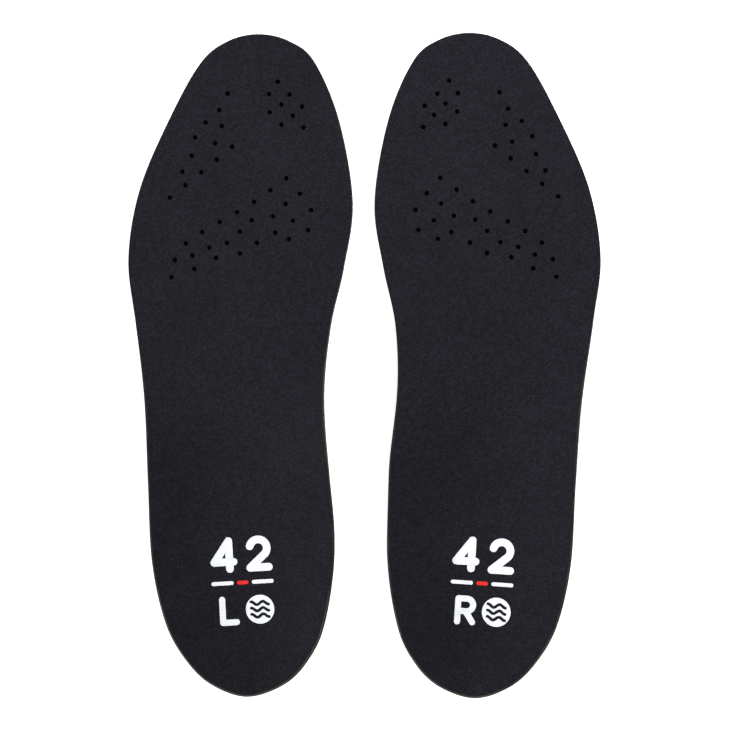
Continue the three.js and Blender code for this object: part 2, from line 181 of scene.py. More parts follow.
KNIT = {  # stitch and rib are sizes, stagger and slant shares of a stitch
    "stitch": 1.1,
    "rib": 0.8,
    "lean": -38,
    "stagger": 0.45,
    "slant": 0.5,
    "crown": 3.2,
    "wander": 1.3,
    "wander_scale": 380.0,
}
# The height share is painted shade: the yarn is painted darker in the gaps between stitches and
# lighter on their crowns.
KNIT_TONE = {"height": 0.24, "fuzz": 0.56, "stitch": 0.2}  # what makes up the shade of the yarn
WHITE = (1.0, 1.0, 1.0, 1.0)
TINTS = {  # sRGB values out of 255, from dark to light or from rubbed to fresh
    "yarn": ((12, 11, 14), (24, 23, 29), (37, 36, 45)),
    "sheen": ((190, 188, 210),),
    "cut_dark": ((28, 25, 23), (54, 48, 44)),
    "cut_pale": ((48, 45, 42), (92, 86, 80)),
    "foam": ((15, 14, 15), (27, 26, 27)),
    # The underside tint is the foam's moulded surface, made paler by a painted sheen.
    "foam_skin_and_sheen": ((33, 33, 35), (46, 46, 49)),
    "shell": ((38, 40, 44), (50, 52, 57)),
    "gel": ((102, 106, 112), (124, 128, 133)),
    "film_white": ((214, 217, 222), (238, 241, 245)),
    "film_red": ((196, 34, 30), (226, 40, 34)),
    "floor": ((240, 240, 240), (245, 245, 245)),
}

# ---- Curves --------------------------------------------------------------------------------------


def smooth_step(x, low, high):
    """A smooth rise from 0 at low to 1 at high."""
    t = np.clip((x - low) / (high - low), 0.0, 1.0)
    return t * t * (3 - 2 * t)


def spline(points, per_span, closed=False):
    """A Catmull-Rom curve through the points."""
    p = np.array(points, float)
    if closed:
        padded = np.vstack([p[-1:], p, p[:2]])
    else:
        padded = np.vstack([2 * p[:1] - p[1:2], p, 2 * p[-1:] - p[-2:-1]])
    t = (np.arange(per_span) / per_span)[:, None]
    spans = []
    for a, b, c, d in zip(padded, padded[1:], padded[2:], padded[3:]):
        spans.append(
            b * (2 * t**3 - 3 * t**2 + 1)
            + (c - a) / 2 * (t**3 - 2 * t**2 + t)
            + c * (3 * t**2 - 2 * t**3)
            + (d - b) / 2 * (t**3 - t**2)
        )
    line = np.vstack(spans)
    return line if closed else np.vstack([line, p[-1:]])


def evenly(line, count, closed=False):
    """count points spaced evenly along a line."""
    path = np.vstack([line, line[:1]]) if closed else line
    far = np.concatenate([[0], np.cumsum(np.linalg.norm(np.diff(path, axis=0), axis=1))])
    at = np.linspace(0, far[-1], count + 1)[:-1] if closed else np.linspace(0, far[-1], count)
    return np.stack([np.interp(at, far, path[:, k]) for k in range(2)], axis=1)


def length_of(line):
    return float(np.linalg.norm(np.diff(np.vstack([line, line[:1]]), axis=0), axis=1).sum())


def normals_of(loop):
    """Unit normals to the right of the direction of travel round a closed loop."""
    ahead = np.roll(loop, -1, axis=0) - np.roll(loop, 1, axis=0)
    right = np.stack([ahead[:, 1], -ahead[:, 0]], axis=1)
    return right / np.linalg.norm(right, axis=1)[:, None]


def few_at_a_time(points):
    return np.array_split(points, max(1, len(points) // POINTS_AT_ONCE))


def distance_to(loop, points):
    """Distance from each point to a closed loop."""
    along = np.roll(loop, -1, axis=0) - loop
    square = (along**2).sum(axis=1)
    best = []
    for part in few_at_a_time(points):
        to = part[:, None, :] - loop[None, :, :]
        t = np.clip((to * along).sum(axis=2) / square, 0, 1)
        best.append(np.linalg.norm(to - t[:, :, None] * along, axis=2).min(axis=1))
    return np.concatenate(best)


def inside(loop, points):
    """Whether each point is inside a closed loop."""
    a, b = loop, np.roll(loop, -1, axis=0)
    found = []
    for part in few_at_a_time(points):
        x, y = part[:, 0:1], part[:, 1:2]
        crosses = (a[:, 1] > y) != (b[:, 1] > y)
        rise = np.where(b[:, 1] == a[:, 1], 1.0, b[:, 1] - a[:, 1])
        at = a[:, 0] + (y - a[:, 1]) / rise * (b[:, 0] - a[:, 0])
        found.append((crosses & (x < at)).sum(axis=1) % 2 == 1)
    return np.concatenate(found)


def circle(u, v, radius, sides):
    """A loop round a hole, anticlockwise."""
    angle = np.arange(sides) / sides * 2 * math.pi
    return np.stack([u + radius * np.cos(angle), v + radius * np.sin(angle)], axis=1)


def rotate(loop, angle):
    """A loop turned about its middle."""
    middle = loop.mean(axis=0)
    cos, sin = math.cos(angle), math.sin(angle)
    return (loop - middle) @ np.array([[cos, sin], [-sin, cos]]) + middle


def ellipse(pad, grow, sides=90):
    """The outline of a pad, clockwise."""
    angle = -np.arange(sides) / sides * 2 * math.pi
    x, y = (pad["across"] + grow) * np.cos(angle), (pad["along"] + grow) * np.sin(angle)
    turn = math.radians(pad["turn"])
    return np.stack(
        [
            pad["u"] + x * math.cos(turn) - y * math.sin(turn),
            pad["v"] + x * math.sin(turn) + y * math.cos(turn),
        ],
        axis=1,
    )


# ---- The form of one insole ----------------------------------------------------------------------

rough_edge = spline(OUTLINE, CURVE_STEPS, closed=True)
edge = evenly(rough_edge, round(length_of(rough_edge) / EDGE_SPACING), closed=True)
edge_inward = normals_of(edge)
medial_edge = edge[edge[:, 0] > MEDIAL_FROM][::-1]
vents = np.vstack([evenly(spline(row, VENT_ROW_STEPS), holes) for holes, row in VENT_ROWS])


def rim_share(v):
    """1 round the heel, where the rim is cut aslant, and 0 round the forefoot."""
    return 1 - smooth_step(v, RIM["full_to"], RIM["gone_at"])


def heel_rise(form, points):
    """A rise towards the outline, all round the heel and fading out in front of it."""
    share = np.clip(1 - distance_to(edge, points) / form["width"], 0, 1) ** form["power"]
    return form["rise"] * share * (1 - smooth_step(points[:, 1], CUP["full_to"], CUP["gone_at"]))


def arch_rise(points):
    """A rise towards the medial edge, between the heel and the ball of the foot."""
    u, v = points[:, 0], points[:, 1]
    rising = smooth_step(v, ARCH["from"], ARCH["peak"])
    falling = smooth_step(v, ARCH["peak"], ARCH["to"])
    across = smooth_step(u, ARCH["lateral"], ARCH["medial"])
    return ARCH["rise"] * (rising * (1 - falling)) * across


def underside(points):
    return heel_rise(CUP, points) + arch_rise(points)


def foam_thickness(v):
    seat, waist, forefoot, toe = (FOAM[k] for k in ("seat", "waist", "forefoot", "toe"))
    rise = (waist - seat) * smooth_step(v, *SLOPES["to_waist"])
    fall = (forefoot - waist) * smooth_step(v, *SLOPES["to_forefoot"])
    return seat + rise + fall + (toe - forefoot) * smooth_step(v, *SLOPES["to_toe"])


def foam_top(points):
    return foam_thickness(points[:, 1]) + heel_rise(BOWL, points) + arch_rise(points)


def cover_top(points):
    return foam_top(points) + GAP + COVER_THICKNESS


def inset_edge(distance):
    """The outline moved in by a distance, which may differ along it."""
    return edge + edge_inward * np.reshape(distance * np.ones(len(edge)), (-1, 1))


# ---- Meshes --------------------------------------------------------------------------------------


class Body:
    """The vertices and faces of one mesh. Loops run clockwise round the outside of a surface and
    anticlockwise round a hole, and a chain of bands leads from the top, round the rim, to the
    bottom."""

    def __init__(self):
        self.points = []
        self.faces = []
        self.slots = []

    def add(self, plan, z):
        start = len(self.points)
        heights = np.reshape(z * np.ones(len(plan)), (-1, 1))
        self.points.extend(np.hstack([plan, heights]))
        return np.arange(start, len(self.points))

    def band(self, a, b, slot):
        for a0, a1, b1, b0 in zip(a, np.roll(a, -1), np.roll(b, -1), b):
            self.faces.append((a0, a1, b1, b0))
            self.slots.append(slot)

    def chain(self, loops, slots=None):
        for i, (a, b) in enumerate(zip(loops, loops[1:])):
            self.band(a, b, slots[i] if slots else 0)

    def patch(self, triangles, ids, up):
        for t in triangles:
            corners = ids[t]
            self.faces.append(tuple(corners if up else corners[::-1]))
            self.slots.append(0)

    def cap(self, loop):
        self.faces.append(tuple(loop))
        self.slots.append(0)

    def build(self, name, side, materials, sharp=50):
        points = np.array(self.points)
        outward = -1 if side == "left" else 1
        x = outward * (PAIR_SPACING / 2 - points[:, 0])
        placed = np.stack([x, points[:, 1] - LENGTH / 2, points[:, 2]], axis=1) * MM
        faces = self.faces if side == "left" else [face[::-1] for face in self.faces]
        mesh = bpy.data.meshes.new(name)
        mesh.from_pydata(placed.tolist(), [], [[int(i) for i in face] for face in faces])
        for material in materials:
            mesh.materials.append(material)
        mesh.polygons.foreach_set("material_index", self.slots)
        mesh.shade_smooth()
        mesh.set_sharp_from_angle(angle=math.radians(sharp))
        mesh.update()
        piece = bpy.data.objects.new(name, mesh)
        bpy.context.scene.collection.objects.link(piece)
        return piece


def edges_of(loops):
    """The edges of several loops, whose points are numbered on from each loop to the next."""
    edges, start = [], 0
    for loop in loops:
        ids = np.arange(start, start + len(loop))
        edges += list(zip(ids.tolist(), np.roll(ids, -1).tolist()))
        start += len(loop)
    return edges


def delaunay(points, loops, merge_within):
    """Triangles between points, the first of which are those of the loops."""
    corners = [Vector(point) for point in points.tolist()]
    return delaunay_2d_cdt(corners, edges_of(loops), [], 0, merge_within)


def triangulate(loops, spacing, extra=()):
    """Fills the area inside the first loop and outside the others. Triangles keep to the extra
    loops too. It returns the points, which start with those of all the loops, and the triangles,
    anticlockwise seen from above."""
    outer, holes = loops[0], loops[1:]
    fixed = [*loops, *extra]
    low, high = outer.min(axis=0), outer.max(axis=0)
    rows = np.arange(low[1], high[1], spacing * math.sqrt(3) / 2)
    grid = [
        (u, v)
        for i, v in enumerate(rows)
        for u in np.arange(low[0] + spacing / 2 * (i % 2), high[0], spacing)
    ]
    grid = np.array(grid)
    keep = inside(outer, grid)
    for loop in fixed:
        keep &= distance_to(loop, grid) > 0.55 * spacing
    for hole in holes:
        keep &= ~inside(hole, grid)
    points = np.vstack([*fixed, grid[keep]])
    made = delaunay(points, fixed, 1e-7)
    first = np.array([ids[0] for ids in made[3]])
    triangles = first[np.array(made[2])]
    middle = points[triangles].mean(axis=1)
    wanted = inside(outer, middle)
    for hole in holes:
        wanted &= ~inside(hole, middle)
    return points, triangles[wanted]


def corner(radius):
    """The rows round a rounded corner: how far in from the wall and from the face each one is."""
    turns = [math.radians(angle) for angle in CORNER_TURNS]
    return [(radius * (1 - math.sin(turn)), radius * (1 - math.cos(turn))) for turn in turns]


def vent_loops(grow):
    return [circle(u, v, VENT["radius"] + grow, VENT["sides"]) for u, v in vents]


def vents_in_patch():
    """Each vent with the numbers of its points, in a patch whose points start with an outline."""
    start = len(edge)
    for u, v in vents:
        yield u, v, np.arange(start, start + VENT["sides"])
        start += VENT["sides"]


# ---- Top cover -----------------------------------------------------------------------------------


def cover_rim(body, top, bottom):
    """The cut edge of the cover: a rounded upper corner, then a slanted cut."""
    share = rim_share(edge[:, 1])
    own_edge, slant = COVER_EDGE["inset"] * share, COVER_EDGE["slant"] * share
    radius = COVER_EDGE["round"]
    rows = [(inwards, 0.0) for inwards in (*COVER_ROWS["top"], radius)] + corner(radius)
    loops, slots = [top], []
    for inwards, down in rows:
        loop = inset_edge(own_edge + inwards)
        loops.append(body.add(loop, cover_top(loop) - down))
        slots.append(COVER_SLOTS["knit"])
    for part in COVER_ROWS["cut"]:
        loop = inset_edge(own_edge - slant * part)
        down = radius + (COVER_THICKNESS - radius) * part
        loops.append(body.add(loop, cover_top(loop) - down))
        slots.append(COVER_SLOTS["cut"])
    body.chain([*loops, bottom], [*slots, COVER_SLOTS["cut"]])


def cover_vents(body, top, bottom):
    for u, v, ids in vents_in_patch():
        loops = [top[ids]]
        for grow, down in VENT_RINGS[1:]:
            loop = circle(u, v, VENT["radius"] + grow, VENT["sides"])
            loops.append(body.add(loop, cover_top(loop) - down))
        body.chain([*loops, bottom[ids]])


def cover_piece(side, materials):
    inner = inset_edge(COVER_EDGE["inset"] * rim_share(edge[:, 1]) + MESH_INSET)
    plan, triangles = triangulate([inner, *vent_loops(VENT_RINGS[0][0])], MESH_SPACING["cover"])
    body = Body()
    top = body.add(plan, cover_top(plan))
    bottom = body.add(plan, cover_top(plan) - COVER_THICKNESS)
    body.patch(triangles, top, up=True)
    body.patch(triangles, bottom, up=False)
    cover_rim(body, top[: len(inner)], bottom[: len(inner)])
    cover_vents(body, top, bottom)
    return body.build(f"{side}_cover_knit", side, materials)


# ---- Foam bed ------------------------------------------------------------------------------------


def shell_outline(grow):
    """The outline of the shell, clockwise: an inset of the insole's, cut off along its front."""
    clear = SHELL_OUTLINE["clear"]
    loop = inset_edge(SHELL["inset"])
    front = spline(SHELL_FRONT, CURVE_STEPS)
    behind = loop[:, 1] < np.interp(loop[:, 0], front[:, 0], front[:, 1])
    first = int(np.argmax(~behind))
    last = len(behind) - int(np.argmax(~behind[::-1]))
    lateral, medial = loop[:first], loop[last:]
    between = (front[:, 0] > lateral[-1, 0] + clear) & (front[:, 0] < medial[0, 0] - clear)
    whole = np.vstack([lateral, front[between], medial])
    whole = evenly(whole, round(length_of(whole) / SHELL_OUTLINE["spacing"]), closed=True)
    for _ in range(SHELL_OUTLINE["softened"]):
        whole = (np.roll(whole, 1, axis=0) + 2 * whole + np.roll(whole, -1, axis=0)) / 4
    return whole - normals_of(whole) * grow


def foam_vents(body, top):
    deep = VENT["depth_in_foam"]
    for u, v, ids in vents_in_patch():
        loop = circle(u, v, VENT["radius"], VENT["sides"])
        loops = [body.add(loop, foam_top(loop) - down) for down in (0.0, 0.5 * deep, deep)]
        body.chain([top[ids], *loops])
        body.cap(loops[-1])


def foam_underside(body):
    """The underside, with recesses for the shell and the pads. It returns its outer loop."""
    shell_depth = SHELL["thickness"] + GAP
    heel_depth = HEEL_PAD["thickness"] + 2 * GAP
    forefoot_depth = FOREFOOT_PAD["thickness"] + GAP
    narrow = GAP - RECESS_WALL
    recesses = [  # the mouth and the end of each, and how deep the two are
        (shell_outline(GAP), shell_outline(narrow), 0.0, shell_depth),
        (ellipse(HEEL_PAD, GAP), ellipse(HEEL_PAD, narrow), shell_depth, heel_depth),
        (ellipse(FOREFOOT_PAD, GAP), ellipse(FOREFOOT_PAD, narrow), 0.0, forefoot_depth),
    ]
    rim = inset_edge(UNDERSIDE_INSET)
    walls = [loop for mouth, end, _, _ in recesses for loop in (mouth, end)]
    plan, triangles = triangulate([rim], MESH_SPACING["foam_under"], walls)
    level = np.zeros(len(plan))
    for _, end, _, depth in recesses:
        level = np.where(inside(end, plan), depth, level)
    start = len(rim)
    for mouth, end, around, depth in recesses:
        between = start + len(mouth)
        level[start:between] = around
        start = between + len(end)
        level[between:start] = depth
    bottom = body.add(plan, underside(plan) + level)
    body.patch(triangles, bottom, up=False)
    return bottom[: len(rim)]


def foam_rim(body, top, bottom):
    """Round the rim: the skived edge outside the cover, the wall, and back in under the insole."""
    share = rim_share(edge[:, 1])
    own_edge, drop = FOAM_EDGE["inset"] * share, FOAM_EDGE["drop"] * share
    lip, radius = FOAM_EDGE["lip"], FOAM_EDGE["round"]
    loops = [top]
    for inwards in FOAM_ROWS["top"]:
        loop = inset_edge(own_edge + inwards)
        loops.append(body.add(loop, foam_top(loop)))
    for part in FOAM_ROWS["skive"]:
        loop = inset_edge(own_edge * (1 - part))
        fall = drop * part ** FOAM_EDGE["curve"] + lip * smooth_step(part, FOAM_EDGE["lip_from"], 1)
        loops.append(body.add(loop, foam_top(loop) - fall))
    low, high = underside(edge), foam_top(edge) - drop - lip
    for part in FOAM_ROWS["wall"]:
        loops.append(body.add(edge, high + (low + radius - high) * part))
    for up, inwards in corner(radius):
        loop = inset_edge(inwards)
        loops.append(body.add(loop, underside(loop) + up))
    loop = inset_edge(FOAM_EDGE["under"])
    loops.append(body.add(loop, underside(loop)))
    body.chain([*loops, bottom])


def foam_piece(side, materials):
    inner = inset_edge(FOAM_EDGE["inset"] * rim_share(edge[:, 1]) + MESH_INSET)
    loops = [inner, *vent_loops(FOAM_VENT_MARGIN)]
    plan, triangles = triangulate(loops, MESH_SPACING["foam_top"])
    body = Body()
    top = body.add(plan, foam_top(plan))
    body.patch(triangles, top, up=True)
    foam_vents(body, top)
    bottom = foam_underside(body)
    foam_rim(body, top[: len(inner)], bottom)
    return body.build(f"{side}_foam_bed_moulding", side, materials)


# ---- Support shell -------------------------------------------------------------------------------


def groove_depth(points):
    """Long grooves under the arch, which curve with its medial edge and run out at both ends."""
    u, v = points[:, 0], points[:, 1]
    from_medial = np.interp(v, medial_edge[:, 1], medial_edge[:, 0]) - u
    width, run_out = GROOVES["width"], GROOVES["run_out"]
    depth = np.zeros(len(points))
    for i in range(GROOVES["count"]):
        from_line = np.abs(from_medial - (GROOVES["from_medial"] + GROOVES["pitch"] * i))
        start = GROOVES["start"] + GROOVES["start_step"] * i
        end = GROOVES["end"] - GROOVES["end_step"] * i
        across = 1 - smooth_step(from_line, GROOVES["flat"] * width, width)
        along = smooth_step(v, start, start + run_out) * (1 - smooth_step(v, end - run_out, end))
        depth = np.maximum(depth, across * along)
    return GROOVES["depth"] * depth


def slab_rim(body, outline, low, high, radius):
    """The rim of a flat piece between its top and bottom patches, with rounded corners."""
    inward = normals_of(outline)
    loops = []
    for inwards, down in corner(radius):
        loop = outline + inward * inwards
        loops.append(body.add(loop, high(loop) - down))
    for inwards, up in corner(radius)[::-1]:
        loop = outline + inward * inwards
        loops.append(body.add(loop, low(loop) + up))
    return loops


def shell_piece(side, materials):
    """The shell, with a window round the heel pad."""
    outline, window = shell_outline(0), ellipse(HEEL_PAD, GAP)[::-1]
    inner, around = (loop + normals_of(loop) * SHELL_ROUND for loop in (outline, window))
    body = Body()

    def high(points):
        return underside(points) + SHELL["thickness"]

    plan, triangles = triangulate([inner, around], MESH_SPACING["shell"])
    top = body.add(plan, high(plan))
    bottom = body.add(plan, underside(plan) + groove_depth(plan))
    body.patch(triangles, top, up=True)
    body.patch(triangles, bottom, up=False)
    start = 0
    for loop in (outline, window):
        rim = slab_rim(body, loop, underside, high, SHELL_ROUND)
        ids = np.arange(start, start + len(loop))
        body.chain([top[ids], *rim, bottom[ids]])
        start += len(loop)
    return body.build(f"{side}_shell_moulding", side, materials)


# ---- Pads ----------------------------------------------------------------------------------------


def heel_pad_base(points):
    return underside(points) + GAP


def forefoot_pad_base(points):
    return np.zeros(len(points))


def pocket_loops(pad, pocket):
    """The hexagonal pockets that fit in a pad."""
    pitch, radius = pocket["pitch"], pocket["radius"]
    room = ellipse(pad, -POCKET_MARGIN - radius)
    start, end = pad["v"] - POCKET_GRID["behind"] * pitch, room[:, 1].max()
    aside = POCKET_GRID["aside"]
    centres = [
        (pad["u"] + (k + 0.5 * (i % 2)) * pitch, v)
        for i, v in enumerate(np.arange(start, end, pitch * math.sqrt(3) / 2))
        for k in range(-aside, aside + 1)
    ]
    centres = np.array(centres)
    cells = [circle(u, v, radius, 6) for u, v in centres[inside(room, centres)]]
    return [rotate(cell, math.radians(30)) for cell in cells]


def add_pocket(body, cell, mouth, base, depth):
    """One pocket, from its mouth up to its flat end."""
    middle = cell.mean(axis=0)
    loops = [mouth]
    for share, rise in POCKET_WALL:
        loop = (middle + (cell - middle) * share)[::-1]
        loops.append(body.add(loop, base(loop) + depth * rise))
    body.chain(loops)
    body.cap(loops[-1])


def pad_piece(name, side, pad, base, materials, pocket):
    """A soft pad with hexagonal pockets in its underside."""
    outline = ellipse(pad, 0)
    inner = outline + normals_of(outline) * PAD_ROUND
    cells = pocket_loops(pad, pocket)
    body = Body()

    def high(points):
        return base(points) + pad["thickness"]

    plan, triangles = triangulate([inner], MESH_SPACING["pad_top"])
    top = body.add(plan, high(plan))
    body.patch(triangles, top, up=True)
    plan, triangles = triangulate([inner, *cells], MESH_SPACING["pad_under"])
    bottom = body.add(plan, base(plan))
    body.patch(triangles, bottom, up=False)
    start = len(inner)
    rim = slab_rim(body, outline, base, high, PAD_ROUND)
    body.chain([top[:start], *rim, bottom[:start]])
    for cell in cells:
        mouth = bottom[start : start + len(cell)][::-1]
        add_pocket(body, cell, mouth, base, pocket["depth"])
        start += len(cell)
    return body.build(f"{side}_{name}", side, materials, sharp=35)


# ---- Print ---------------------------------------------------------------------------------------


def arc(x, y, radius, low, high, steps):
    angles = np.radians(np.linspace(low, high, steps + 1))
    return [(x + radius * math.cos(a), y + radius * math.sin(a)) for a in angles]


def stroke(points, radius, steps=8):
    """The anticlockwise outline of a pen stroke with round ends along a line of points."""
    path = np.array(points, float)
    ahead = np.diff(path, axis=0)
    headings = np.arctan2(ahead[:, 1], ahead[:, 0])

    def at(point, angle, reach):
        return (point[0] + reach * math.cos(angle), point[1] + reach * math.sin(angle))

    def flank(sign):
        loop = []
        for point, before, after in zip(path[1:-1], headings, headings[1:]):
            half = math.atan2(math.sin(after - before), math.cos(after - before)) / 2
            loop.append(at(point, before + half + sign * math.pi / 2, radius / math.cos(half)))
        return loop

    def cap(point, angle):
        turns = np.linspace(-math.pi / 2, math.pi / 2, steps + 1)
        return [at(point, angle + turn, radius) for turn in turns]

    start, end = cap(path[0], headings[0] + math.pi), cap(path[-1], headings[-1])
    return np.array(end + flank(1)[::-1] + start + flank(-1))


STROKES = {
    "four": [[(2.3, 5.8), (-4, -2.9)], [(-4, -2.9), (4, -2.9)], [(2.3, 5.8), (2.3, -5.8)]],
    "two": [[*arc(0, 2.2, 3.6, 165, -40, 24), (-3.8, -5.8)], [(-3.8, -5.8), (4, -5.8)]],
    "left": [[(-2.6, 4.8), (-2.6, -4.8)], [(-2.6, -4.8), (3, -4.8)]],
    "right": [
        [(-3, 4.8), (-3, -4.8)],
        [(-3, 4.8), *arc(0.6, 2.2, 2.6, 90, -90, 18), (-3, -0.4)],
        [(0.2, -0.4), (3.2, -4.8)],
    ],
}


def pen_mark(strokes, x, y, radius):
    return [stroke(np.array(line) + (x, y), radius) for line in strokes]


def film_shapes(side):
    """The outlines that each film covers, and those cut out of it, in the print's own frame."""
    digits, divider, letter, icon = DIGITS, DIVIDER, SIDE_LETTER, CUSHION_ICON

    def digit(name, x):
        return pen_mark(STROKES[name], x, digits["y"], digits["stroke"])

    def bar(low, high):
        return pen_mark([[(low, 0), (high, 0)]], 0, divider["y"], divider["stroke"])

    across = np.linspace(-WAVE["reach"], WAVE["reach"], WAVE_POINTS)
    swing = WAVE["height"] * np.sin(across * 2 * math.pi / WAVE["period"])
    waves = [np.stack([across, up + swing], axis=1) for up in WAVE["rows"]]
    return {
        "digit_four": (digit("four", -digits["spread"]), []),
        "digit_two": (digit("two", digits["spread"]), []),
        "left_bar": (bar(-divider["to"], -divider["from"]), []),
        "middle_bar": (bar(-divider["middle"], divider["middle"]), []),
        "right_bar": (bar(divider["from"], divider["to"]), []),
        "side_letter": (pen_mark(STROKES[side], letter["x"], letter["y"], letter["stroke"]), []),
        "cushion_icon": (
            [circle(icon["x"], icon["y"], icon["radius"], ICON_SIDES)],
            pen_mark(waves, icon["x"], icon["y"], icon["stroke"]),
        ),
    }


def fill_marks(marks, cuts, spacing):
    """Fills the area inside any mark and outside every cut. Their outlines may cross."""
    loops = marks + cuts
    corners = np.vstack(loops)
    low, high = corners.min(axis=0), corners.max(axis=0)
    grid = np.meshgrid(*[np.arange(low[k], high[k], spacing) for k in range(2)])
    grid = np.stack(grid, axis=-1).reshape(-1, 2)
    clear = np.min([distance_to(loop, grid) for loop in loops], axis=0) > 0.4 * spacing
    made = delaunay(np.vstack([corners, grid[clear]]), loops, 1e-6)
    plan, triangles = np.array(made[0]), np.array(made[2])
    middle = plan[triangles].mean(axis=1)
    wanted = np.any([inside(mark, middle) for mark in marks], axis=0)
    for cut in cuts:
        wanted &= ~inside(cut, middle)
    return plan, triangles[wanted]


def film_piece(side, name, marks, cuts, material):
    """One film, a little sunk in the cover. The print itself is not mirrored."""
    turn = math.radians(PRINT_SIDES[side]["turn"])
    cos, sin = math.cos(turn), math.sin(turn)
    mirror = 1 if side == "left" else -1
    plan, triangles = fill_marks(marks, cuts, MESH_SPACING["film"])
    x = PRINT_SIDES[side]["x"] + plan[:, 0] * cos - plan[:, 1] * sin
    placed = np.stack([mirror * x, PRINT_V + plan[:, 0] * sin + plan[:, 1] * cos], axis=1)
    body = Body()
    top = body.add(placed, cover_top(placed) + FILM_THICKNESS)
    bottom = body.add(placed, cover_top(placed) - FILM_THICKNESS)
    body.patch(triangles, top, up=True)
    body.patch(triangles, bottom, up=False)
    sides = {(t[i], t[(i + 1) % 3]) for t in triangles.tolist() for i in range(3)}
    for a, b in sorted(sides):
        if (b, a) not in sides:
            body.faces.append((bottom[a], bottom[b], top[b], top[a]))
            body.slots.append(0)
    if mirror < 0:
        body.faces = [face[::-1] for face in body.faces]
    return body.build(f"{side}_film_{name}", side, [material])


# ---- Materials -----------------------------------------------------------------------------------


def colour(r, g, b):
    """Linear colour from sRGB values out of 255."""
    parts = [c / 255 for c in (r, g, b)]
    return [c / 12.92 if c <= 0.04045 else ((c + 0.055) / 1.055) ** 2.4 for c in parts] + [1.0]


class Shader:
    """A material being wired up. The scale of a noise counts its features in a metre."""

    def __init__(self, name):
        self.material = bpy.data.materials.new(name)
        self.material.use_nodes = True
        self.tree = self.material.node_tree
        self.surface = self.tree.nodes["Principled BSDF"]
        self.place = self.add("ShaderNodeTexCoord").outputs["Object"]

    def add(self, kind, inputs=None, **settings):
        node = self.tree.nodes.new(kind)
        for key, value in settings.items():
            setattr(node, key, value)
        for key, value in (inputs or {}).items():
            self.put(node.inputs[key], value)
        return node

    def put(self, socket, value):
        if isinstance(value, bpy.types.NodeSocket):
            self.tree.links.new(value, socket)
        else:
            socket.default_value = value

    def maths(self, operation, a, b=0.0, c=0.0):
        return self.add("ShaderNodeMath", {0: a, 1: b, 2: c}, operation=operation).outputs[0]

    def vector(self, operation, a, b):
        second = "Scale" if operation == "SCALE" else 1
        return self.add("ShaderNodeVectorMath", {0: a, second: b}, operation=operation).outputs[0]

    def noise_node(self, scale, detail, roughness=0.5):
        inputs = {"Vector": self.place, "Scale": scale, "Detail": detail, "Roughness": roughness}
        return self.add("ShaderNodeTexNoise", inputs)

    def noise(self, scale, detail=2.0, roughness=0.5):
        return self.noise_node(scale, detail, roughness).outputs["Fac"]

    def noise_colour(self, scale, detail):
        return self.noise_node(scale, detail).outputs["Color"]

    def ramp(self, factor, *stops):
        """Colours or greys between positions along a factor."""
        node = self.add("ShaderNodeValToRGB", {"Fac": factor})
        elements = node.color_ramp.elements
        while len(elements) < len(stops):
            elements.new(0.5)
        for element, (position, tint) in zip(elements, stops):
            element.position = position
            element.color = tint if isinstance(tint, list) else [tint] * 3 + [1.0]
        return node.outputs["Color"]

    def tinted(self, factor, ends, name):
        """The named tints, each at its own value of a factor, and blended between them."""
        return self.ramp(factor, *((end, colour(*tint)) for end, tint in zip(ends, TINTS[name])))

    def shaded(self, base, factor, *stops):
        """A colour made darker or lighter by a ramp."""
        return self.mix(1.0, base, self.ramp(factor, *stops), "MULTIPLY")

    def mix(self, factor, a, b, blend="MIX"):
        node = self.add("ShaderNodeMix", data_type="RGBA", blend_type=blend)
        for key, value in ((0, factor), (6, a), (7, b)):
            self.put(node.inputs[key], value)
        return node.outputs[2]

    def bump(self, height, distance, strength=1.0, normal=None):
        inputs = {"Height": height, "Distance": distance * MM, "Strength": strength}
        if normal:
            inputs["Normal"] = normal
        return self.add("ShaderNodeBump", inputs).outputs[0]

    def finish(self, **inputs):
        for key, value in inputs.items():
            self.put(self.surface.inputs[key.replace("_", " ")], value)
        return self.material


def knit_stitches(shader):
    """A fine knit: slanted stitches in ribs that run diagonally, each with its own shade. It
    returns the height of the surface and the shade of the stitch, both from 0 to 1."""
    warp = shader.noise_colour(KNIT["wander_scale"], 3.0)
    centred = shader.vector("SUBTRACT", warp, (0.5, 0.5, 0.5))
    wander = shader.vector("SCALE", centred, KNIT["wander"] * MM)
    place = shader.vector("ADD", shader.place, wander)
    turned = shader.add(
        "ShaderNodeVectorRotate", {"Vector": place, "Angle": math.radians(KNIT["lean"])}
    ).outputs[0]
    cells = (1 / (KNIT["stitch"] * MM), 1 / (KNIT["rib"] * MM), 0)
    split = shader.add("ShaderNodeSeparateXYZ", {0: shader.vector("MULTIPLY", turned, cells)})
    rib = shader.maths("FLOOR", split.outputs[1])
    along = shader.maths("ADD", split.outputs[0], shader.maths("MULTIPLY", rib, KNIT["stagger"]))
    stitch = shader.maths("FLOOR", along)
    across = shader.maths("SUBTRACT", shader.maths("FRACT", split.outputs[1]), 0.5)
    ahead = shader.maths("SUBTRACT", shader.maths("FRACT", along), 0.5)
    ahead = shader.maths("ADD", ahead, shader.maths("MULTIPLY", across, KNIT["slant"]))
    far = shader.maths("ADD", shader.maths("POWER", ahead, 2.0), shader.maths("POWER", across, 2.0))
    height = shader.maths("SUBTRACT", 1.0, shader.maths("MULTIPLY", far, KNIT["crown"]))
    cell = shader.add("ShaderNodeCombineXYZ", {0: stitch, 1: rib}).outputs[0]
    shade = shader.add("ShaderNodeTexWhiteNoise", {"Vector": cell}).outputs["Value"]
    return shader.maths("MAXIMUM", height, 0.0), shade


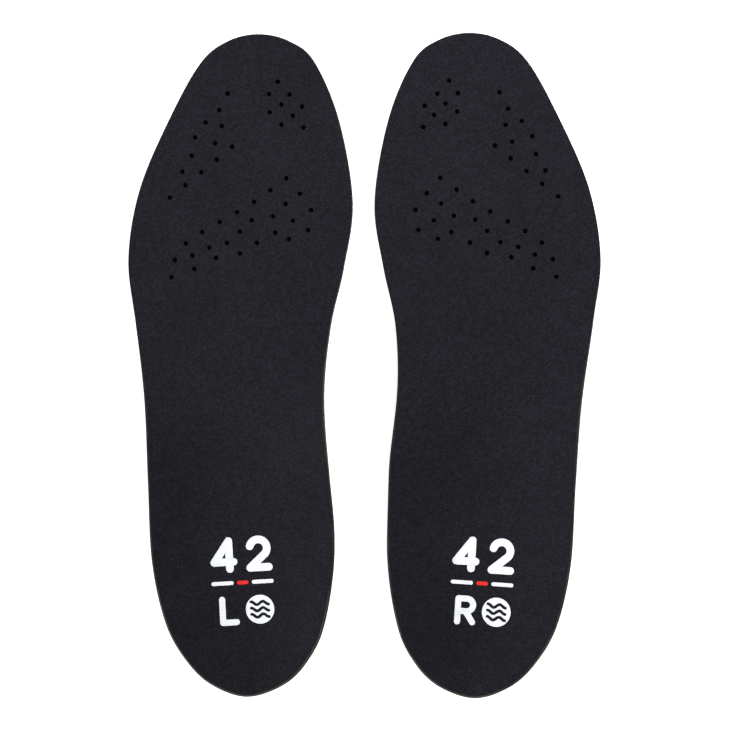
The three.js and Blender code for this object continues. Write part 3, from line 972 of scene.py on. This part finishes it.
def knit_material():
    """Fuzzy dark yarn with a faint sheen."""
    shader = Shader("cover_knit")
    height, shade = knit_stitches(shader)
    fuzz = shader.noise(1700.0, 3.0, 0.65)
    blotches = shader.noise(38.0, 4.0, 0.65)
    tone = shader.maths("MULTIPLY", fuzz, KNIT_TONE["fuzz"])
    # Painted shade: the lower the knit, the darker the yarn, so the gaps between stitches are
    # darker and the crowns lighter.
    tone = shader.maths("MULTIPLY_ADD", height, KNIT_TONE["height"], tone)
    tone = shader.maths("MULTIPLY_ADD", shade, KNIT_TONE["stitch"], tone)
    yarn = shader.tinted(tone, (0.24, 0.5, 0.76), "yarn")
    relief = shader.maths("MULTIPLY_ADD", fuzz, 0.4, height)
    return shader.finish(
        Base_Color=shader.shaded(yarn, blotches, (0.3, 0.88), (0.7, 1.12)),
        Roughness=0.92,
        Specular_IOR_Level=0.13,
        Sheen_Weight=0.045,
        Sheen_Roughness=0.45,
        Sheen_Tint=colour(*TINTS["sheen"][0]),
        Normal=shader.bump(relief, 0.14, 0.55),
    )


def cut_edge_material():
    """The cut edge of the cover: bare yarn ends, unevenly singed along the rim."""
    shader = Shader("cover_cut_edge")
    grain = shader.noise(1500.0, 4.0, 0.7)
    patches = shader.noise(75.0, 3.0, 0.6)
    along = shader.add("ShaderNodeSeparateXYZ", {0: shader.place}).outputs[1]
    # From about 0 at the heel end to 1 at a tenth of a metre in front of it.
    from_heel = shader.maths("MULTIPLY_ADD", along, 10.0, 1.4)
    dark = shader.tinted(grain, (0.25, 0.75), "cut_dark")
    pale = shader.tinted(grain, (0.25, 0.75), "cut_pale")
    fibre = shader.mix(shader.ramp(from_heel, (0.35, 0.0), (0.75, 1.0)), pale, dark)
    return shader.finish(
        Base_Color=shader.shaded(fibre, patches, (0.35, 0.45), (0.65, 1.15)),
        Roughness=0.95,
        Specular_IOR_Level=0.15,
        Normal=shader.bump(grain, 0.2),
    )


def pressed_diamonds(shader):
    """It returns 1 all over, down to 0 in the grooves pressed into the parts that face the floor,
    and 1 on those parts alone."""
    turned = shader.add(
        "ShaderNodeVectorRotate", {"Vector": shader.place, "Angle": math.radians(45)}
    ).outputs[0]
    scaled = shader.vector("SCALE", turned, 1 / (DIAMONDS["pitch"] * MM))
    split = shader.add("ShaderNodeSeparateXYZ", {0: scaled})
    to_line = []
    for axis in (0, 1):
        centred = shader.maths("SUBTRACT", shader.maths("FRACT", split.outputs[axis]), 0.5)
        to_line.append(shader.maths("SUBTRACT", 0.5, shader.maths("ABSOLUTE", centred)))
    nearest = shader.maths("MINIMUM", *to_line)
    half = 0.5 * DIAMONDS["groove"] / DIAMONDS["pitch"]
    land = shader.ramp(nearest, (half * 0.5, 0.0), (half * 1.4, 1.0))
    facing = shader.add("ShaderNodeTexCoord").outputs["Normal"]
    up = shader.add("ShaderNodeSeparateXYZ", {0: facing}).outputs[2]
    below = shader.ramp(shader.maths("ADD", up, 1.0), (0.15, 1.0), (0.4, 0.0))
    return shader.mix(below, WHITE, land), below


def foam_material():
    """Closed-cell foam, smooth and paler on the underside, where the diamonds are. The paler tint
    there is partly the moulded surface and partly a painted sheen, and the grooves between the
    diamonds are painted darker as painted shade.
    """
    shader = Shader("foam_closed_cell")
    land, below = pressed_diamonds(shader)
    cells = shader.add(
        "ShaderNodeTexVoronoi", {"Vector": shader.place, "Scale": 1500.0}, feature="F1"
    ).outputs["Distance"]
    grain = shader.noise(900.0, 3.0, 0.6)
    patches = shader.noise(60.0, 3.0, 0.6)
    body = shader.tinted(grain, (0.3, 0.7), "foam")
    body = shader.shaded(body, patches, (0.3, 0.85), (0.7, 1.15))
    # Painted sheen: faces that point down are mixed towards a paler tint, partly the moulded
    # surface and partly painted sheen.
    skin_and_sheen = shader.tinted(grain, (0.3, 0.7), "foam_skin_and_sheen")
    base = shader.mix(below, body, skin_and_sheen)
    height = shader.maths("ADD", cells, shader.maths("MULTIPLY", grain, 0.5))
    pressed = shader.bump(land, DIAMONDS["depth"], 0.8)
    return shader.finish(
        # Painted shade: the grooves of the diamonds are painted darker, down to 0.45 of the colour,
        # and the lands keep it.
        Base_Color=shader.shaded(base, land, (0.0, 0.45), (1.0, 1.0)),
        Roughness=shader.ramp(grain, (0.3, 0.7), (0.7, 0.9)),
        Specular_IOR_Level=0.35,
        Normal=shader.bump(height, 0.12, 0.6, pressed),
    )


def shell_material():
    """Fine-textured grey plastic."""
    shader = Shader("shell_plastic")
    spark = shader.noise(2600.0, 2.0, 0.5)
    flow = shader.noise(28.0, 4.0, 0.65)
    body = shader.tinted(flow, (0.3, 0.7), "shell")
    return shader.finish(
        Base_Color=shader.shaded(body, spark, (0.3, 0.9), (0.7, 1.08)),
        Roughness=shader.ramp(flow, (0.3, 0.55), (0.7, 0.72)),
        Specular_IOR_Level=0.3,
        Normal=shader.bump(spark, 0.05, 0.5),
    )


def pad_material():
    """Cloudy grey gel."""
    shader = Shader("pad_elastomer")
    grain = shader.noise(1400.0, 2.0, 0.5)
    clouds = shader.noise(70.0, 3.0, 0.6)
    body = shader.tinted(clouds, (0.3, 0.7), "gel")
    return shader.finish(
        Base_Color=shader.shaded(body, grain, (0.3, 0.93), (0.7, 1.05)),
        Roughness=shader.ramp(grain, (0.3, 0.4), (0.7, 0.6)),
        Normal=shader.bump(grain, 0.04, 0.5),
    )


def film_material(name):
    """Transfer film: the knit shows through it, and it is a little cracked and rubbed."""
    shader = Shader(name)
    height, _ = knit_stitches(shader)
    fuzz = shader.noise(1800.0, 3.0, 0.6)
    rubbed = shader.noise(220.0, 4.0, 0.7)
    tint = shader.tinted(rubbed, (0.25, 0.5), name)
    relief = shader.maths("MULTIPLY_ADD", fuzz, 0.2, height)
    return shader.finish(
        # Painted shade: the film is painted darker in the gaps between the stitches under it.
        Base_Color=shader.shaded(tint, height, (0.0, 0.92), (0.6, 1.0)),
        Roughness=0.55,
        Specular_IOR_Level=0.3,
        Normal=shader.bump(relief, 0.1, 0.35),
    )


# ---- The pieces ----------------------------------------------------------------------------------

knit = knit_material()
cut_edge = cut_edge_material()
foam = foam_material()
shell_plastic = shell_material()
elastomer = pad_material()
film_white = film_material("film_white")
film_red = film_material("film_red")


def settle(piece, side, node):
    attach(piece, f"{side}_insole")
    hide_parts(f"{side}_{node}")


for side in ("left", "right"):
    foam_bed = foam_piece(side, [foam])
    settle(foam_bed, side, "foam_bed")

    cover = cover_piece(side, [knit, cut_edge])
    settle(cover, side, "top_cover")

    shell = shell_piece(side, [shell_plastic])
    settle(shell, side, "support_shell")

    gel = [elastomer]
    heel = pad_piece("heel_gel", side, HEEL_PAD, heel_pad_base, gel, POCKETS["heel"])
    settle(heel, side, "heel_pad")

    pocket = POCKETS["forefoot"]
    fore = pad_piece("forefoot_gel", side, FOREFOOT_PAD, forefoot_pad_base, gel, pocket)
    settle(fore, side, "forefoot_pad")

    for name, (marks, cuts) in film_shapes(side).items():
        red = name == "middle_bar"
        film = film_piece(side, name, marks, cuts, film_red if red else film_white)
        settle(film, side, f"print_{name}")

# ---- Floor, light and camera ---------------------------------------------------------------------

FLOOR = {"reach": 1.5, "level": -0.0002, "glow": 0.75}  # metres, and the strength of its glow
WORLD_LIGHT = 0.35
LIGHTS = [  # height and turn in degrees, distance and size in metres, watts
    ("over_the_toes", 45, 62, 0.8, 0.4, 6.3),
    ("low_left", 20, 165, 2.0, 0.8, 9.0),
    ("low_heel_left", 20, 225, 2.0, 0.8, 25.0),
    ("low_heel", 20, 270, 2.0, 0.8, 8.0),
]
CAMERA = {  # tilt in degrees, width of the view in metres, lens and sensor in millimetres
    "tilt": 5.5,
    "width": 0.3037,
    "lens": 250.0,
    "sensor": 36.0,
    "clip_end": 20.0,
    "aim": (0.00025, -0.0002, 0),
}


def floor_material():
    shader = Shader("studio_floor")
    grain = shader.noise(40.0, 3.0, 0.5)
    return shader.finish(
        Base_Color=shader.tinted(grain, (0.3, 0.7), "floor"),
        Roughness=0.9,
        Specular_IOR_Level=0.1,
        Emission_Color=WHITE,
        Emission_Strength=FLOOR["glow"],
    )


def floor_piece():
    mesh = bpy.data.meshes.new("studio_floor")
    reach, level = FLOOR["reach"], FLOOR["level"]
    corners = [(x * reach, y * reach, level) for x, y in ((-1, -1), (1, -1), (1, 1), (-1, 1))]
    mesh.from_pydata(corners, [], [(0, 1, 2, 3)])
    mesh.materials.append(floor_material())
    floor = bpy.data.objects.new("studio_floor", mesh)
    bpy.context.scene.collection.objects.link(floor)
    floor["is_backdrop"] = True


def studio_light(name, height, round_from_x, distance, size, power):
    """A round soft light that faces the origin, placed by two angles in degrees."""
    up, turn = math.radians(height), math.radians(round_from_x)
    aside = math.cos(up)
    place = distance * Vector((aside * math.cos(turn), aside * math.sin(turn), math.sin(up)))
    light = bpy.data.lights.new(name, "AREA")
    light.shape = "DISK"
    light.size = size
    light.energy = power
    lamp = bpy.data.objects.new(name, light)
    lamp.location = place
    lamp.rotation_euler = (-place).to_track_quat("-Z", "Y").to_euler()
    bpy.context.scene.collection.objects.link(lamp)


def camera_above():
    """A long lens over the pair, leaning towards +X, with +Y up in the picture."""
    camera = bpy.data.cameras.new("camera")
    camera.lens = CAMERA["lens"]
    camera.sensor_width = CAMERA["sensor"]
    camera.clip_end = CAMERA["clip_end"]
    distance = CAMERA["width"] * CAMERA["lens"] / CAMERA["sensor"]
    tilt = math.radians(CAMERA["tilt"])
    right = Vector((math.cos(tilt), 0, -math.sin(tilt)))
    up = Vector((0, 1, 0))
    back = Vector((math.sin(tilt), 0, math.cos(tilt)))
    place = Vector(CAMERA["aim"]) + back * distance
    rows = [[right[k], up[k], back[k], place[k]] for k in range(3)]
    holder = bpy.data.objects.new("camera", camera)
    holder.matrix_world = Matrix([*rows, [0, 0, 0, 1]])
    bpy.context.scene.collection.objects.link(holder)
    bpy.context.scene.camera = holder


def studio_world():
    world = bpy.data.worlds.new("studio")
    world.use_nodes = True
    background = world.node_tree.nodes["Background"]
    background.inputs[0].default_value = WHITE
    background.inputs[1].default_value = WORLD_LIGHT
    bpy.context.scene.world = world


floor_piece()
for light in LIGHTS:
    studio_light(*light)
camera_above()
studio_world()
bpy.context.scene.view_settings.view_transform = "Standard"

[[list(map(float, corner)) for corner in box] for box in (cad_box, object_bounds())]
